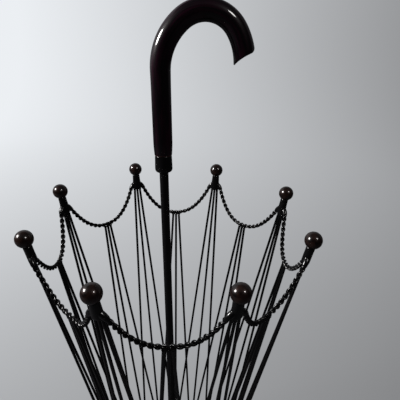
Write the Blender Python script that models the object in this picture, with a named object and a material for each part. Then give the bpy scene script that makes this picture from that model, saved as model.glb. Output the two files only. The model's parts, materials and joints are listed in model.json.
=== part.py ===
"""Umbrella stand in the shape of an upturned umbrella.

A leaning steel pole with a wooden crook handle rises through an open basket.  Sixteen fans of
straight wire run from a footed pan up to a scalloped rim, where eight ball finials on necks are
joined by hanging swags of twisted wire.  Metres, +Z up, origin on the floor under the pan's
centre, crook opening towards +X.
"""
import math

import bpy
from mathutils import Matrix, Vector

# ---- overall -------------------------------------------------------------------------------
RIB_COUNT = 8                        # ball finials, and swags between them
RIM_RADIUS = 0.170                   # circle through the ball centres
RIM_HEIGHT = 0.5175                  # ball centres above the floor
POLE_LENGTH = RIM_HEIGHT + 0.0449    # steel tube, from the pan to inside the ferrule
POLE_LEAN = math.radians(1.05)       # the pole stands this far out of true, towards -X
GAP = 0.0003                         # between pieces that touch

# ---- wires ---------------------------------------------------------------------------------
WIRE_RADIUS = 0.0017
FINIAL_WIRE_PITCH = 2 * WIRE_RADIUS + 0.0007     # side by side under a neck
SWAG_WIRE_PITCH = 2 * WIRE_RADIUS + 0.0012       # side by side under a swag
WIRE_STAGGER = 2 * WIRE_RADIUS + 2 * GAP         # between the two families on the base ring
WIRE_CLUSTER_HALF = WIRE_RADIUS + 0.0005         # outer wire beside the neighbour's middle one
WELD_RADIUS = 1.4 * WIRE_RADIUS                  # bead that joins the three wires of a fan
WIRE_SIDES = 8
SWAG_RADIUS = 0.0030                 # outside of a swag's two twisted strands

# ---- finials -------------------------------------------------------------------------------
BALL_RADIUS = 0.0099
BALL_FLAT_RADIUS = 0.0043            # seat ground on the ball's underside
SPIGOT_RADIUS = 0.0022               # peg on the neck that enters the ball
SPIGOT_LENGTH = 0.0052
NECK_LENGTH = 0.0313                 # ball centre to the neck's foot, along the neck
NECK_TOP_HALF = (0.0046, 0.0046)     # half depth, half width under the ball
NECK_WAIST_HALF = (0.0043, 0.0048)
NECK_FOOT_HALF = (0.0047, 0.0064)
NECK_WAIST_SHARE = 0.35              # how far down the neck its waist is
ARM_RADIUS = SWAG_RADIUS + 0.0004    # stub on the neck that meets the swag
ARM_REACH = SWAG_RADIUS + 4 * WIRE_RADIUS        # its end, sideways from the neck's centre
ARM_DROP = 0.0300                    # and below the ball's centre
ARM_LENGTH = 0.0100

# ---- swags ---------------------------------------------------------------------------------
SWAG_DIP = 0.0716                    # middle of the swag below the ball centres
SWAG_BOW = 0.0078                    # how far the middle lies inside the line between its ends
SWAG_POWER = 2.4                     # 2 is a parabola, more has steeper ends
SWAG_STEPS = 18
SWAG_SIDES = 8

# ---- base ----------------------------------------------------------------------------------
FOOT_HEIGHT = 0.0180
FOOT_RADIUS = 0.0092
FOOT_FLAT_RADIUS = 0.0055
FOOT_COUNT = 4
FOOT_CIRCLE = 0.0780
PAN_FLOOR_RADIUS = 0.0900
PAN_RIM_RADIUS = 0.0970
PAN_DEPTH = 0.0120
PAN_SHEET = 0.0015
RING_RADIUS = 0.0788                 # middle of the flat ring that carries the wires
RING_WIDTH = 0.0120
RING_THICKNESS = 0.0040
RING_EDGE = 0.0008

# ---- pole, its threads and the handle ------------------------------------------------------
POLE_RADIUS = 0.0053
POLE_WALL = 0.0010
STUD_RADIUS = POLE_RADIUS - POLE_WALL - 0.0013   # M6
STUD_CLEARANCE = 0.0003
THREAD_ENGAGEMENT = 0.0120           # twelve turns of 1 mm pitch
STUD_IN_WOOD = 0.0280
TOP_INSERT_LENGTH = 0.0160
FOOT_INSERT_LENGTH = 0.0220
BOLT_GRIP = 0.0160                   # bolt shank above the pan
BOLT_HEAD_RADIUS = 0.0055
BOLT_HEAD_HEIGHT = 0.0036
WASHER_RADIUS = 0.0095
WASHER_THICKNESS = 0.0012
FERRULE_RADIUS = 0.0103
FERRULE_HEIGHT = 0.0205
FERRULE_SOCKET = 0.0100              # how far the pole goes up inside it
FERRULE_ROUND = 0.0032               # rounded lower edge
HANDLE_FOOT_RADIUS = 0.0101          # wood where it meets the ferrule
HANDLE_RADIUS = 0.0109               # straight grip
HANDLE_HOOK_RADIUS = 0.0117          # hook
HANDLE_TAPER = 0.0160                # length over which the foot swells to the grip
HANDLE_STRAIGHT = 0.0930
HOOK_ARCS = ((0.0643, 51.0), (0.0373, 96.8), (0.0656, 28.2))    # radius, turn in degrees
HANDLE_SIDES = 20
END_CUT = math.radians(25)           # slant of the hook's end, longer on the inside
END_SCOOP_RADIUS = 0.0300            # hollow cut across the end
END_SCOOP_DEPTH = 0.0036
END_STOCK = 0.0120                   # wood past the end, which the cut takes off

# ---- heights that follow -------------------------------------------------------------------
PAN_BOTTOM = FOOT_HEIGHT + GAP
PAN_TOP = PAN_BOTTOM + PAN_SHEET
RING_BOTTOM = PAN_TOP + GAP
RING_TOP = RING_BOTTOM + RING_THICKNESS
WIRE_FOOT = RING_TOP + GAP
RIB_STEP = 2 * math.pi / RIB_COUNT
FINIAL_WIRE_CIRCLE = RING_RADIUS + WIRE_STAGGER / 2
SWAG_WIRE_CIRCLE = RING_RADIUS - WIRE_STAGGER / 2
NECK_TILT = math.atan2(RIM_RADIUS - FINIAL_WIRE_CIRCLE, RIM_HEIGHT - WIRE_FOOT)
STUD_HOLE_RADIUS = STUD_RADIUS + STUD_CLEARANCE

MATERIALS = {
    "black_enamel": ((0.012, 0.011, 0.012), 0.32, 0.6),
    "bronze_enamel": ((0.045, 0.026, 0.020), 0.18, 0.7),
    "lacquered_wood": ((0.022, 0.006, 0.008), 0.12, 0.0),
    "zinc_steel": ((0.55, 0.55, 0.56), 0.35, 1.0),
}


# ---- helpers -------------------------------------------------------------------------------
def clear_scene():
    for old in list(bpy.data.objects):
        bpy.data.objects.remove(old, do_unlink=True)


def make_material(name):
    colour, roughness, metallic = MATERIALS[name]
    material = bpy.data.materials.new(name)
    material.use_nodes = True
    shader = material.node_tree.nodes["Principled BSDF"]
    shader.inputs["Base Color"].default_value = (*colour, 1)
    shader.inputs["Roughness"].default_value = roughness
    shader.inputs["Metallic"].default_value = metallic
    return material


def material_named(name):
    return bpy.data.materials.get(name) or make_material(name)


def mesh_from(name, verts, faces):
    mesh = bpy.data.meshes.new(name)
    mesh.from_pydata([tuple(v) for v in verts], [], faces)
    mesh.validate()
    mesh.shade_smooth()
    mesh.set_sharp_from_angle(angle=math.radians(35))
    return mesh


def add_object(name, mesh, material, parent=None, location=(0, 0, 0), rotation=(0, 0, 0)):
    piece = bpy.data.objects.new(name, mesh)
    bpy.context.scene.collection.objects.link(piece)
    if not mesh.materials:
        mesh.materials.append(material_named(material))
    piece.parent = parent
    piece.location = location
    piece.rotation_euler = rotation
    return piece


def skin(rings):
    """Verts and faces of a tube through equal rings, with a flat face on each end."""
    sides = len(rings[0])
    verts = [v for ring in rings for v in ring]
    faces = []
    for i in range(len(rings) - 1):
        a, b = i * sides, (i + 1) * sides
        faces += [(a + k, a + (k + 1) % sides, b + (k + 1) % sides, b + k) for k in range(sides)]
    faces.append(tuple(range(sides))[::-1])
    faces.append(tuple(range(len(verts) - sides, len(verts))))
    return verts, faces


def lathe(name, profile, steps):
    """Turned solid about Z.  The profile runs down the outside; points at radius 0 are poles."""
    verts, rows = [], []
    for radius, z in profile:
        if radius == 0:
            rows.append([len(verts)] * steps)
            verts.append((0, 0, z))
            continue
        rows.append(list(range(len(verts), len(verts) + steps)))
        for k in range(steps):
            angle = 2 * math.pi * k / steps
            verts.append((radius * math.cos(angle), radius * math.sin(angle), z))
    if profile[0][0] != 0:
        rows.append(rows[0])
    faces = []
    for upper, lower in zip(rows, rows[1:]):
        for k in range(steps):
            corners = (upper[k], lower[k], lower[(k + 1) % steps], upper[(k + 1) % steps])
            faces.append(tuple(dict.fromkeys(corners)))
    return mesh_from(name, verts, faces)


def ring_points(centre, normal, side, radius, sides):
    """Corners of a polygon around a centre, counter-clockwise seen against the normal."""
    other = normal.cross(side)
    spokes = [2 * math.pi * (k + 0.5) / sides for k in range(sides)]
    return [centre + side * (radius * math.cos(a)) + other * (radius * math.sin(a)) for a in spokes]


def add_cutter(name, mesh, material):
    cutter = add_object(name, mesh, material)
    cutter.hide_render = True
    cutter.display_type = "WIRE"
    return cutter


def boolean(piece, tool, operation):
    modifier = piece.modifiers.new(operation.title(), "BOOLEAN")
    modifier.operation = operation
    modifier.solver = "EXACT"
    modifier.object = tool


def union_mesh(name, shapes, material):
    """One closed body from several overlapping meshes."""
    base = add_object(name, shapes[0], material)
    tools = [add_object(name + "_tool", shape, material) for shape in shapes[1:]]
    for tool in tools:
        boolean(base, tool, "UNION")
    bpy.context.view_layer.update()
    evaluated = base.evaluated_get(bpy.context.evaluated_depsgraph_get())
    joined = bpy.data.meshes.new_from_object(evaluated)
    for used in (base, *tools):
        bpy.data.objects.remove(used, do_unlink=True)
    joined.shade_smooth()
    joined.set_sharp_from_angle(angle=math.radians(35))
    return joined


def prism(name, low, high, radius, sides):
    """Round bar between two points, its ends cut level."""
    side, up = Vector((1, 0, 0)), Vector((0, 0, 1))
    return mesh_from(name, *skin([ring_points(p, up, side, radius, sides) for p in (low, high)]))


def bar(name, start, end, radius, sides):
    """Round bar between two points, its ends cut square."""
    axis = (end - start).normalized()
    side = axis.orthogonal().normalized()
    return mesh_from(name, *skin([ring_points(p, axis, side, radius, sides) for p in (start, end)]))


def finial_frame(angle):
    """Matrix of a finial: origin at the ball's centre, local Z up its leaning neck."""
    place = Matrix.Translation((RIM_RADIUS, 0, RIM_HEIGHT)) @ Matrix.Rotation(NECK_TILT, 4, "Y")
    return Matrix.Rotation(angle, 4, "Z") @ place


def finial_angle(index):
    return (index + 0.5) * RIB_STEP


# ---- finials -------------------------------------------------------------------------------
def ball_mesh():
    steps = 16
    seat = -math.sqrt(BALL_RADIUS ** 2 - BALL_FLAT_RADIUS ** 2)
    low = math.acos(seat / BALL_RADIUS)
    profile = [(0, BALL_RADIUS)]
    profile += [
        (BALL_RADIUS * math.sin(low * k / 8), BALL_RADIUS * math.cos(low * k / 8))
        for k in range(1, 9)
    ]
    hole = SPIGOT_RADIUS + GAP
    hole_top = neck_top() + SPIGOT_LENGTH + GAP
    profile += [(hole, seat), (hole, hole_top), (0, hole_top)]
    return lathe("finial_ball", profile, steps)


def neck_top():
    """Height of the neck's shoulder below the ball's centre."""
    return -math.sqrt(BALL_RADIUS ** 2 - BALL_FLAT_RADIUS ** 2) - GAP


def swag_end():
    """Where a swag meets its arm, in the finial's own frame, on the +Y side."""
    return Vector((0, ARM_REACH, -ARM_DROP))


def swag_point(share):
    """Point and direction on the swag about azimuth 0, share running from -1 to 1."""
    end = finial_frame(-RIB_STEP / 2) @ swag_end()
    bottom = RIM_HEIGHT - SWAG_DIP
    rise = end.z - bottom
    reach = abs(share)
    point = Vector((end.x - SWAG_BOW * (1 - share ** 2), -end.y * share,
                    bottom + rise * reach ** SWAG_POWER))
    slope = SWAG_POWER * rise * reach ** (SWAG_POWER - 1) * math.copysign(1, share)
    direction = Vector((2 * SWAG_BOW * share, -end.y, slope))
    return point, direction.normalized()


def neck_mesh():
    top, foot = neck_top(), -NECK_LENGTH
    waist = top + (foot - top) * NECK_WAIST_SHARE
    middle = (waist + foot) / 2
    middle_half = [(a + b) / 2 - 0.0003 for a, b in zip(NECK_WAIST_HALF, NECK_FOOT_HALF)]
    spigot = (SPIGOT_RADIUS, SPIGOT_RADIUS)
    sections = [
        (foot, NECK_FOOT_HALF), (middle, middle_half), (waist, NECK_WAIST_HALF),
        (top, NECK_TOP_HALF), (top, spigot), (top + SPIGOT_LENGTH, spigot),
    ]
    sides = 12
    rings = []
    for z, (depth, width) in sections:
        angles = [2 * math.pi * k / sides for k in range(sides)]
        rings.append([(depth * math.cos(a), width * math.sin(a), z) for a in angles])
    shapes = [mesh_from("neck_body", *skin(rings))]
    point, direction = swag_point(-1)
    local = finial_frame(-RIB_STEP / 2).inverted()
    end = local @ point
    along = local.to_3x3() @ direction
    for mirror in (1, -1):
        tip = Vector((end.x, end.y * mirror, end.z))
        back = Vector((along.x, along.y * mirror, along.z)) * ARM_LENGTH
        shapes.append(bar("neck_arm", tip - back, tip, ARM_RADIUS, 8))
    return union_mesh("finial_neck", shapes, "black_enamel")


# ---- swags ---------------------------------------------------------------------------------
def swag_mesh():
    start, direction = swag_point(-1)
    lead = 4 * GAP
    middle = [swag_point(-1 + 2 * k / SWAG_STEPS) for k in range(1, SWAG_STEPS)]
    first = [(start + direction * GAP, direction), (start + direction * (GAP + lead), direction)]
    last = [(Vector((p.x, -p.y, p.z)), Vector((-d.x, d.y, -d.z))) for p, d in reversed(first)]
    rings = []
    for point, tangent in first + middle + last:
        side = tangent.cross(Vector((0, 0, 1)).cross(tangent)).normalized()
        rings.append(ring_points(point, tangent, side, SWAG_RADIUS, SWAG_SIDES))
    return mesh_from("rim_swag", *skin(rings))


# ---- wire fans -----------------------------------------------------------------------------
def fan_mesh(name, top, pitch, own_circle):
    """Three straight wires from a weld bead down to the base ring, about azimuth 0."""
    neighbour = RIB_STEP / 2
    shapes = [bar("weld", top - Vector((0, pitch + WIRE_RADIUS * 0.7, 0)),
                  top + Vector((0, pitch + WIRE_RADIUS * 0.7, 0)), WELD_RADIUS, 8)]
    for side in (-1, 0, 1):
        angle = side * (neighbour - WIRE_CLUSTER_HALF / own_circle)
        foot = Vector((own_circle * math.cos(angle), own_circle * math.sin(angle), WIRE_FOOT))
        head = top + Vector((0, side * pitch, 0))
        shapes.append(prism("wire", foot, head, WIRE_RADIUS, WIRE_SIDES))
    return union_mesh(name, shapes, "black_enamel")


def finial_fan_mesh():
    frame = finial_frame(0)
    top = frame @ Vector((0, 0, -NECK_LENGTH - GAP - WELD_RADIUS))
    return fan_mesh("finial_wires", top, FINIAL_WIRE_PITCH, FINIAL_WIRE_CIRCLE)


def swag_fan_mesh():
    middle, _ = swag_point(0)
    top = middle - Vector((0, 0, SWAG_RADIUS + GAP + WELD_RADIUS))
    return fan_mesh("swag_wires", top, SWAG_WIRE_PITCH, SWAG_WIRE_CIRCLE)


def build_rim_and_basket():
    ball, neck, swag = ball_mesh(), neck_mesh(), swag_mesh()
    finial_fan, swag_fan = finial_fan_mesh(), swag_fan_mesh()
    for index in range(RIB_COUNT):
        number = index + 1
        angle = finial_angle(index)
        seat = finial_frame(angle)
        turned = (0, NECK_TILT, angle)
        between = (0, 0, angle + RIB_STEP / 2)
        add_object(f"finial_ball_{number}", ball, "bronze_enamel", None, seat.translation, turned)
        add_object(f"finial_neck_{number}", neck, "black_enamel", None, seat.translation, turned)
        add_object(f"finial_wires_{number}", finial_fan, "black_enamel", rotation=(0, 0, angle))
        add_object(f"rim_swag_{number}", swag, "black_enamel", rotation=between)
        add_object(f"swag_wires_{number}", swag_fan, "black_enamel", rotation=between)


# ---- base ----------------------------------------------------------------------------------
def build_base():
    edge, half = RING_EDGE, RING_WIDTH / 2
    ring = [
        (RING_RADIUS - half + edge, RING_TOP), (RING_RADIUS + half - edge, RING_TOP),
        (RING_RADIUS + half, RING_TOP - edge), (RING_RADIUS + half, RING_BOTTOM + edge),
        (RING_RADIUS + half - edge, RING_BOTTOM), (RING_RADIUS - half + edge, RING_BOTTOM),
        (RING_RADIUS - half, RING_BOTTOM + edge), (RING_RADIUS - half, RING_TOP - edge),
    ]
    add_object("base_ring", lathe("base_ring", ring, 48), "black_enamel")
    hole = STUD_HOLE_RADIUS
    lip, wall = PAN_TOP + PAN_DEPTH, PAN_SHEET
    curve = PAN_RIM_RADIUS - PAN_FLOOR_RADIUS
    pan = [
        (hole, PAN_TOP), (PAN_FLOOR_RADIUS - wall, PAN_TOP),
        (PAN_FLOOR_RADIUS + curve * 0.3 - wall, PAN_TOP + PAN_DEPTH * 0.2),
        (PAN_FLOOR_RADIUS + curve * 0.6 - wall, lip - PAN_DEPTH * 0.2),
        (PAN_RIM_RADIUS - wall, lip), (PAN_RIM_RADIUS, lip), (PAN_RIM_RADIUS, lip - wall),
        (PAN_FLOOR_RADIUS + curve * 0.6, lip - PAN_DEPTH * 0.2 - wall),
        (PAN_FLOOR_RADIUS + curve * 0.3, PAN_TOP + PAN_DEPTH * 0.2 - wall * 0.5),
        (PAN_FLOOR_RADIUS, PAN_BOTTOM + wall * 0.3), (PAN_FLOOR_RADIUS - wall, PAN_BOTTOM),
        (hole, PAN_BOTTOM),
    ]
    add_object("base_pan", lathe("base_pan", pan, 48), "black_enamel")
    foot = [(0, FOOT_HEIGHT)]
    waist = math.asin(FOOT_FLAT_RADIUS / FOOT_RADIUS)
    for k in range(7):
        angle = waist + (math.pi - 2 * waist) * k / 6
        height = FOOT_HEIGHT / 2 * (1 + math.cos(angle) / math.cos(waist))
        foot.append((FOOT_RADIUS * math.sin(angle), height))
    foot.append((0, 0))
    foot_mesh = lathe("foot", foot, 16)
    for index in range(FOOT_COUNT):
        angle = (index + 0.5) * 2 * math.pi / FOOT_COUNT
        place = (FOOT_CIRCLE * math.cos(angle), FOOT_CIRCLE * math.sin(angle), 0)
        add_object(f"foot_{index + 1}", foot_mesh, "black_enamel", location=place)


# ---- pole ----------------------------------------------------------------------------------
def sleeve(name, outer, inner, low, high, steps):
    return lathe(name, [(inner, high), (outer, high), (outer, low), (inner, low)], steps)


def build_pole(axis):
    """Tube, threaded inserts, base bolt and washer, all on the leaning axis."""
    bottom, top = GAP, GAP + POLE_LENGTH
    inner = POLE_RADIUS - POLE_WALL
    tube = sleeve("pole", POLE_RADIUS, inner, bottom, top, 20)
    add_object("pole", tube, "black_enamel", axis)
    insert = inner - GAP
    top_insert = sleeve("insert", insert, STUD_HOLE_RADIUS, top - TOP_INSERT_LENGTH, top, 16)
    add_object("pole_top_insert", top_insert, "zinc_steel", axis)
    foot_insert = sleeve("insert", insert, STUD_HOLE_RADIUS, bottom, bottom + FOOT_INSERT_LENGTH, 16)
    add_object("pole_foot_insert", foot_insert, "zinc_steel", axis)
    washer_top = -PAN_SHEET - GAP
    washer_low = washer_top - WASHER_THICKNESS
    washer = sleeve("washer", WASHER_RADIUS, STUD_HOLE_RADIUS, washer_low, washer_top, 20)
    add_object("base_washer", washer, "zinc_steel", axis)
    head_top = washer_low - GAP
    head_low = head_top - BOLT_HEAD_HEIGHT
    bolt = [
        (0, BOLT_GRIP), (STUD_RADIUS, BOLT_GRIP), (STUD_RADIUS, head_top),
        (BOLT_HEAD_RADIUS, head_top), (BOLT_HEAD_RADIUS, head_low + 0.0012),
        (BOLT_HEAD_RADIUS - 0.0018, head_low), (0, head_low),
    ]
    add_object("base_bolt", lathe("base_bolt", bolt, 16), "zinc_steel", axis)
    return top


# ---- handle --------------------------------------------------------------------------------
def hook_path(start):
    """Points and directions up the straight grip and round the hook, in the XZ plane."""
    path = [(Vector((0, 0, start)), 0.0), (Vector((0, 0, start + HANDLE_TAPER / 2)), 0.0),
            (Vector((0, 0, start + HANDLE_TAPER)), 0.0)]
    point, heading = Vector((0, 0, start + HANDLE_STRAIGHT)), 0.0
    path.append((point.copy(), heading))
    for radius, degrees in HOOK_ARCS:
        steps = max(2, round(degrees / 9))
        turn = math.radians(degrees)
        for k in range(1, steps + 1):
            now = heading + turn * k / steps
            shift = Vector((math.cos(heading) - math.cos(now), 0, math.sin(now) - math.sin(heading)))
            path.append((point + shift * radius, now))
        point, heading = path[-1][0].copy(), now
    path.append((point + Vector((math.sin(heading), 0, math.cos(heading))) * END_STOCK, heading))
    return path


def handle_radius(height, start):
    """Thickness of the wood: slim at the ferrule, full on the grip, fullest on the hook."""
    if height < start + HANDLE_TAPER:
        share = (height - start) / HANDLE_TAPER
        return HANDLE_FOOT_RADIUS + (HANDLE_RADIUS - HANDLE_FOOT_RADIUS) * math.sin(share * math.pi / 2)
    if height <= start + HANDLE_STRAIGHT:
        return HANDLE_RADIUS
    return HANDLE_HOOK_RADIUS


def build_handle(axis, pole_top):
    """Ferrule on the pole's top, threaded stud, and the crook of bent wood."""
    low = pole_top - FERRULE_SOCKET
    high = low + FERRULE_HEIGHT
    socket, web = POLE_RADIUS + GAP, pole_top + GAP
    ferrule = [(STUD_HOLE_RADIUS, high), (FERRULE_RADIUS, high)]
    for k in range(4):
        angle = math.pi / 2 * k / 3
        ferrule.append((FERRULE_RADIUS - FERRULE_ROUND * (1 - math.cos(angle)),
                        low + FERRULE_ROUND * (1 - math.sin(angle))))
    ferrule += [(socket, low), (socket, web), (STUD_HOLE_RADIUS, web)]
    add_object("handle_ferrule", lathe("handle_ferrule", ferrule, 24), "black_enamel", axis)

    start = high + GAP
    stud = sleeve_rod("handle_stud", STUD_RADIUS, pole_top - THREAD_ENGAGEMENT, start + STUD_IN_WOOD)
    add_object("handle_stud", stud, "zinc_steel", axis)

    path = hook_path(start)
    rings = []
    for point, heading in path:
        tangent = Vector((math.sin(heading), 0, math.cos(heading)))
        outward = Vector((0, 1, 0)).cross(tangent)
        radius = handle_radius(point.z if heading == 0 else math.inf, start)
        rings.append(ring_points(point, tangent, outward, radius, HANDLE_SIDES))
    crook = add_object("crook_handle", mesh_from("crook_handle", *skin(rings)), "lacquered_wood", axis)

    drill = sleeve_rod("stud_hole", STUD_HOLE_RADIUS, start - 0.005, start + STUD_IN_WOOD + GAP)
    boolean(crook, parented_cutter("stud_hole_cutter", drill, axis), "DIFFERENCE")
    end, heading = path[-2]
    scoop = end_scoop_mesh(end, heading)
    boolean(crook, parented_cutter("end_scoop_cutter", scoop, axis), "DIFFERENCE")


def sleeve_rod(name, radius, low, high):
    return lathe(name, [(0, high), (radius, high), (radius, low), (0, low)], 16)


def parented_cutter(name, mesh, axis):
    cutter = add_cutter(name, mesh, "lacquered_wood")
    cutter.parent = axis
    return cutter


def end_scoop_mesh(end, heading):
    """Round bar lying across the end, tilted so that the inner side of the hook stays longer."""
    slanted = heading - END_CUT
    outward = Vector((math.sin(slanted), 0, math.cos(slanted)))
    centre = end + outward * (END_SCOOP_RADIUS - END_SCOOP_DEPTH)
    half = Vector((0, HANDLE_HOOK_RADIUS * 1.5, 0))
    return bar("end_scoop", centre - half, centre + half, END_SCOOP_RADIUS, 48)


def main():
    clear_scene()
    build_rim_and_basket()
    build_base()
    axis = bpy.data.objects.new("pole_axis", None)
    bpy.context.scene.collection.objects.link(axis)
    axis.location = (0, 0, PAN_TOP)
    axis.rotation_euler = (0, -POLE_LEAN, 0)
    pole_top = build_pole(axis)
    build_handle(axis, pole_top)
    bpy.context.view_layer.update()


main()
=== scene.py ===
"""Umbrella stand shaped as an upturned umbrella: the finished look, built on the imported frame."""

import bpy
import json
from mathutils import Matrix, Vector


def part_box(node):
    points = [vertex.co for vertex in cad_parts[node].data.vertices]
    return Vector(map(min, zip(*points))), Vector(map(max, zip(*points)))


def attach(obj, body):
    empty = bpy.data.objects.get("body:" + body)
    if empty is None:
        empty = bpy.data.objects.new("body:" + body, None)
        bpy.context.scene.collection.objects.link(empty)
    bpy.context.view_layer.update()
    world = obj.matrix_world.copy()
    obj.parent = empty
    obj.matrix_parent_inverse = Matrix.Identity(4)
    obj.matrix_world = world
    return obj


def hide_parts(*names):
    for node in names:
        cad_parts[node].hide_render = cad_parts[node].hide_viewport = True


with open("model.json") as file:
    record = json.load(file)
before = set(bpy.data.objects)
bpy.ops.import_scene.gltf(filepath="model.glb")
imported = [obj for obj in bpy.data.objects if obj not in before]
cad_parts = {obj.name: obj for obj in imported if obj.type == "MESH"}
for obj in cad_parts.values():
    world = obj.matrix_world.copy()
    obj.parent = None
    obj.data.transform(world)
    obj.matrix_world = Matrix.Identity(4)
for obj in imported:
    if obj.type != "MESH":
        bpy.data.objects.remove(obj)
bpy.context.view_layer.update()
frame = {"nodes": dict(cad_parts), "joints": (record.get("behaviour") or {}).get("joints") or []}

import json
import math

import bpy
from bpy.props import FloatProperty, FloatVectorProperty, IntProperty, PointerProperty
from mathutils import Matrix, Vector

bl_info = {
    "name": "Upturned Umbrella Stand",
    "version": (1, 0, 0),
    "blender": (4, 5, 0),
    "location": "View3D > Sidebar > Umbrella Stand",
    "description": "Builds the finished pieces of a wire umbrella stand on its packed frame",
    "category": "Add Mesh",
}

# ---- what the frame gives ------------------------------------------------------------------
RIB_COUNT = 8
RIB_STEP = 2 * math.pi / RIB_COUNT
JOINTS = {joint["name"]: joint for joint in frame["joints"]}
POLE_AXIS = Vector(JOINTS["handle_turn"]["axis"]).normalized()
POLE_FOOT = Vector(JOINTS["handle_turn"]["pos_m"])
POLE_TURN = Vector((0, 0, 1)).rotation_difference(POLE_AXIS).to_matrix().to_4x4()
POLE_PLACE = Matrix.Translation(POLE_FOOT) @ POLE_TURN


def along_pole(node):
    """Lowest and highest point of a node, measured up the leaning pole from its foot."""
    heights = [(v.co - POLE_FOOT).dot(POLE_AXIS) for v in frame["nodes"][node].data.vertices]
    return min(heights), max(heights)


def reach_of(node):
    """Largest distance of a node's surface from the pole's axis."""
    verts = frame["nodes"][node].data.vertices
    return max((v.co - POLE_FOOT).cross(POLE_AXIS).length for v in verts)


BALL_LOW, BALL_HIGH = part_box("finial_ball_1")
BALL_RADIUS = (BALL_HIGH.x - BALL_LOW.x) / 2
RIM_RADIUS = ((BALL_LOW + BALL_HIGH) / 2).to_2d().length
RIM_HEIGHT = BALL_HIGH.z - BALL_RADIUS
RING_LOW, RING_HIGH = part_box("base_ring")
PAN_LOW, PAN_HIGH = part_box("base_pan")
FOOT_LOW, FOOT_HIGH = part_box("foot_1")
SWAG_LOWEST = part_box("rim_swag_8")[0].z


# ---- sizes and colours a user may change ---------------------------------------------------
def length_prop(name, text, default):
    """A length in metres, shown in the panel."""
    return FloatProperty(name=name, description=text, default=default, unit="LENGTH", precision=5)


def colour_prop(name, text, default):
    """A linear colour, shown in the panel."""
    return FloatVectorProperty(name=name, description=text, default=default, subtype="COLOR",
                               size=3, min=0, max=1)


class StandSizes(bpy.types.PropertyGroup):
    """Sizes of the finished pieces."""
    wire: length_prop("Wire radius", "Straight wires of the basket", 0.00175)
    weld: length_prop("Weld radius", "Bead where a wire meets the ring or a swag", 0.0024)
    wire_stagger: length_prop("Wire stagger", "Distance between the two rows on the ring", 0.0040)
    cluster: length_prop("Cluster half", "Outer wire's distance from the middle one", 0.0022)
    finial_pitch: length_prop("Finial wire pitch", "Wires side by side under a neck", 0.0041)
    swag_pitch: length_prop("Swag wire pitch", "Wires side by side under a swag", 0.0046)
    swag: length_prop("Swag radius", "Outside of the twisted strands", 0.0031)
    twist: length_prop("Twist pitch", "Length of one full turn of the strands", 0.0145)
    swag_bow: length_prop("Swag bow", "How far the swag's middle lies inside its ends", 0.0078)
    swag_power: FloatProperty(name="Swag power", description="Steepness of its ends", default=2.4)
    neck: length_prop("Neck length", "Ball centre to the neck's foot", 0.0313)
    arm_reach: length_prop("Arm reach", "Swag's end, sideways from the neck", 0.0098)
    arm_drop: length_prop("Arm drop", "Swag's end below the ball's centre", 0.0300)
    grip: length_prop("Straight grip", "Straight wood from the ferrule to the hook", 0.0930)
    taper: length_prop("Grip taper", "Length over which the foot swells", 0.0160)
    sides: IntProperty(name="Round sides", description="Sides of a large turned piece", default=64)


class StandColours(bpy.types.PropertyGroup):
    """Colours of the finishes, and the two colours of the backdrop's painted light and shade."""
    enamel: colour_prop("Enamel", "Black enamel on the wire and the pole", (0.0040, 0.0038, 0.0042))
    enamel_dust: colour_prop("Enamel dust", "Worn, dusty enamel", (0.0100, 0.0098, 0.0105))
    bronze: colour_prop("Bronze", "Light parts of the balls' enamel", (0.0500, 0.0210, 0.0150))
    bronze_dark: colour_prop("Dark bronze", "Dark parts of their enamel", (0.0060, 0.0032, 0.0032))
    wood: colour_prop("Wood", "Dark grain of the lacquered wood", (0.0016, 0.0005, 0.0018))
    wood_red: colour_prop("Red wood", "Red streaks in the lacquered wood", (0.0300, 0.0015, 0.0135))
    wood_seam: colour_prop("Seam", "Bare wood at the ferrule", (0.0900, 0.0260, 0.0210))
    zinc: colour_prop("Zinc", "Zinc plating on screws and washer", (0.55, 0.55, 0.56))
    # painted light and shade: the backdrop glows between these two colours, light on its lit side
    # and dark on its shaded side, whatever the lamps do
    wall_light: colour_prop("Wall, light", "Lit side of the backdrop", (0.935, 0.965, 1.0))
    wall_shade: colour_prop("Wall, shade", "Shaded side of the backdrop", (0.220, 0.222, 0.229))


# ---- sizes that stay -----------------------------------------------------------------------
GAP = 0.0003                    # round a screw, and between pieces that touch
THREAD_PITCH = 0.001
POLE_WALL = 0.0010
FOOT_COUNT = 4
PAN_SHEET = 0.0015
RING_WIDTH = 0.0120
HOOK_ARCS = ((0.0643, 51.0), (0.0373, 96.8), (0.0656, 28.2))    # radius, turn in degrees
HOOK_RADIUS = 0.0116
GRIP_RADIUS = 0.0109
HANDLE_FOOT_RADIUS = 0.0101
HANDLE_SIDES = 48
HANDLE_SEAT = 0.0002            # the wood's foot is pressed this far into its seat
END_CUT = math.radians(25)      # slant of the hook's end, longer on the inside
END_SCOOP_RADIUS = 0.0240       # hollow across the end
END_SCOOP_DEPTH = 0.0038
END_EDGE = 0.0026               # mean rounding of the end's rim


# ---- node trees as Python expressions ------------------------------------------------------
class Socket:
    """An output socket.  Arithmetic on it adds Math nodes to its tree."""

    def __init__(self, nodes, output):
        self.nodes = nodes
        self.output = output

    def math(self, operation, first, second=0.0):
        return self.nodes.out("ShaderNodeMath", {"operation": operation}, {0: first, 1: second})

    def __add__(self, other):
        return self.math("ADD", self, other)

    def __sub__(self, other):
        return self.math("SUBTRACT", self, other)

    def __rsub__(self, other):
        return self.math("SUBTRACT", other, self)

    def __mul__(self, other):
        return self.math("MULTIPLY", self, other)

    def __truediv__(self, other):
        return self.math("DIVIDE", self, other)

    __radd__ = __add__
    __rmul__ = __mul__

    def clamped(self):
        """The value held between 0 and 1."""
        settings = {"operation": "ADD", "use_clamp": True}
        return self.nodes.out("ShaderNodeMath", settings, {0: self, 1: 0.0})


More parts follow.
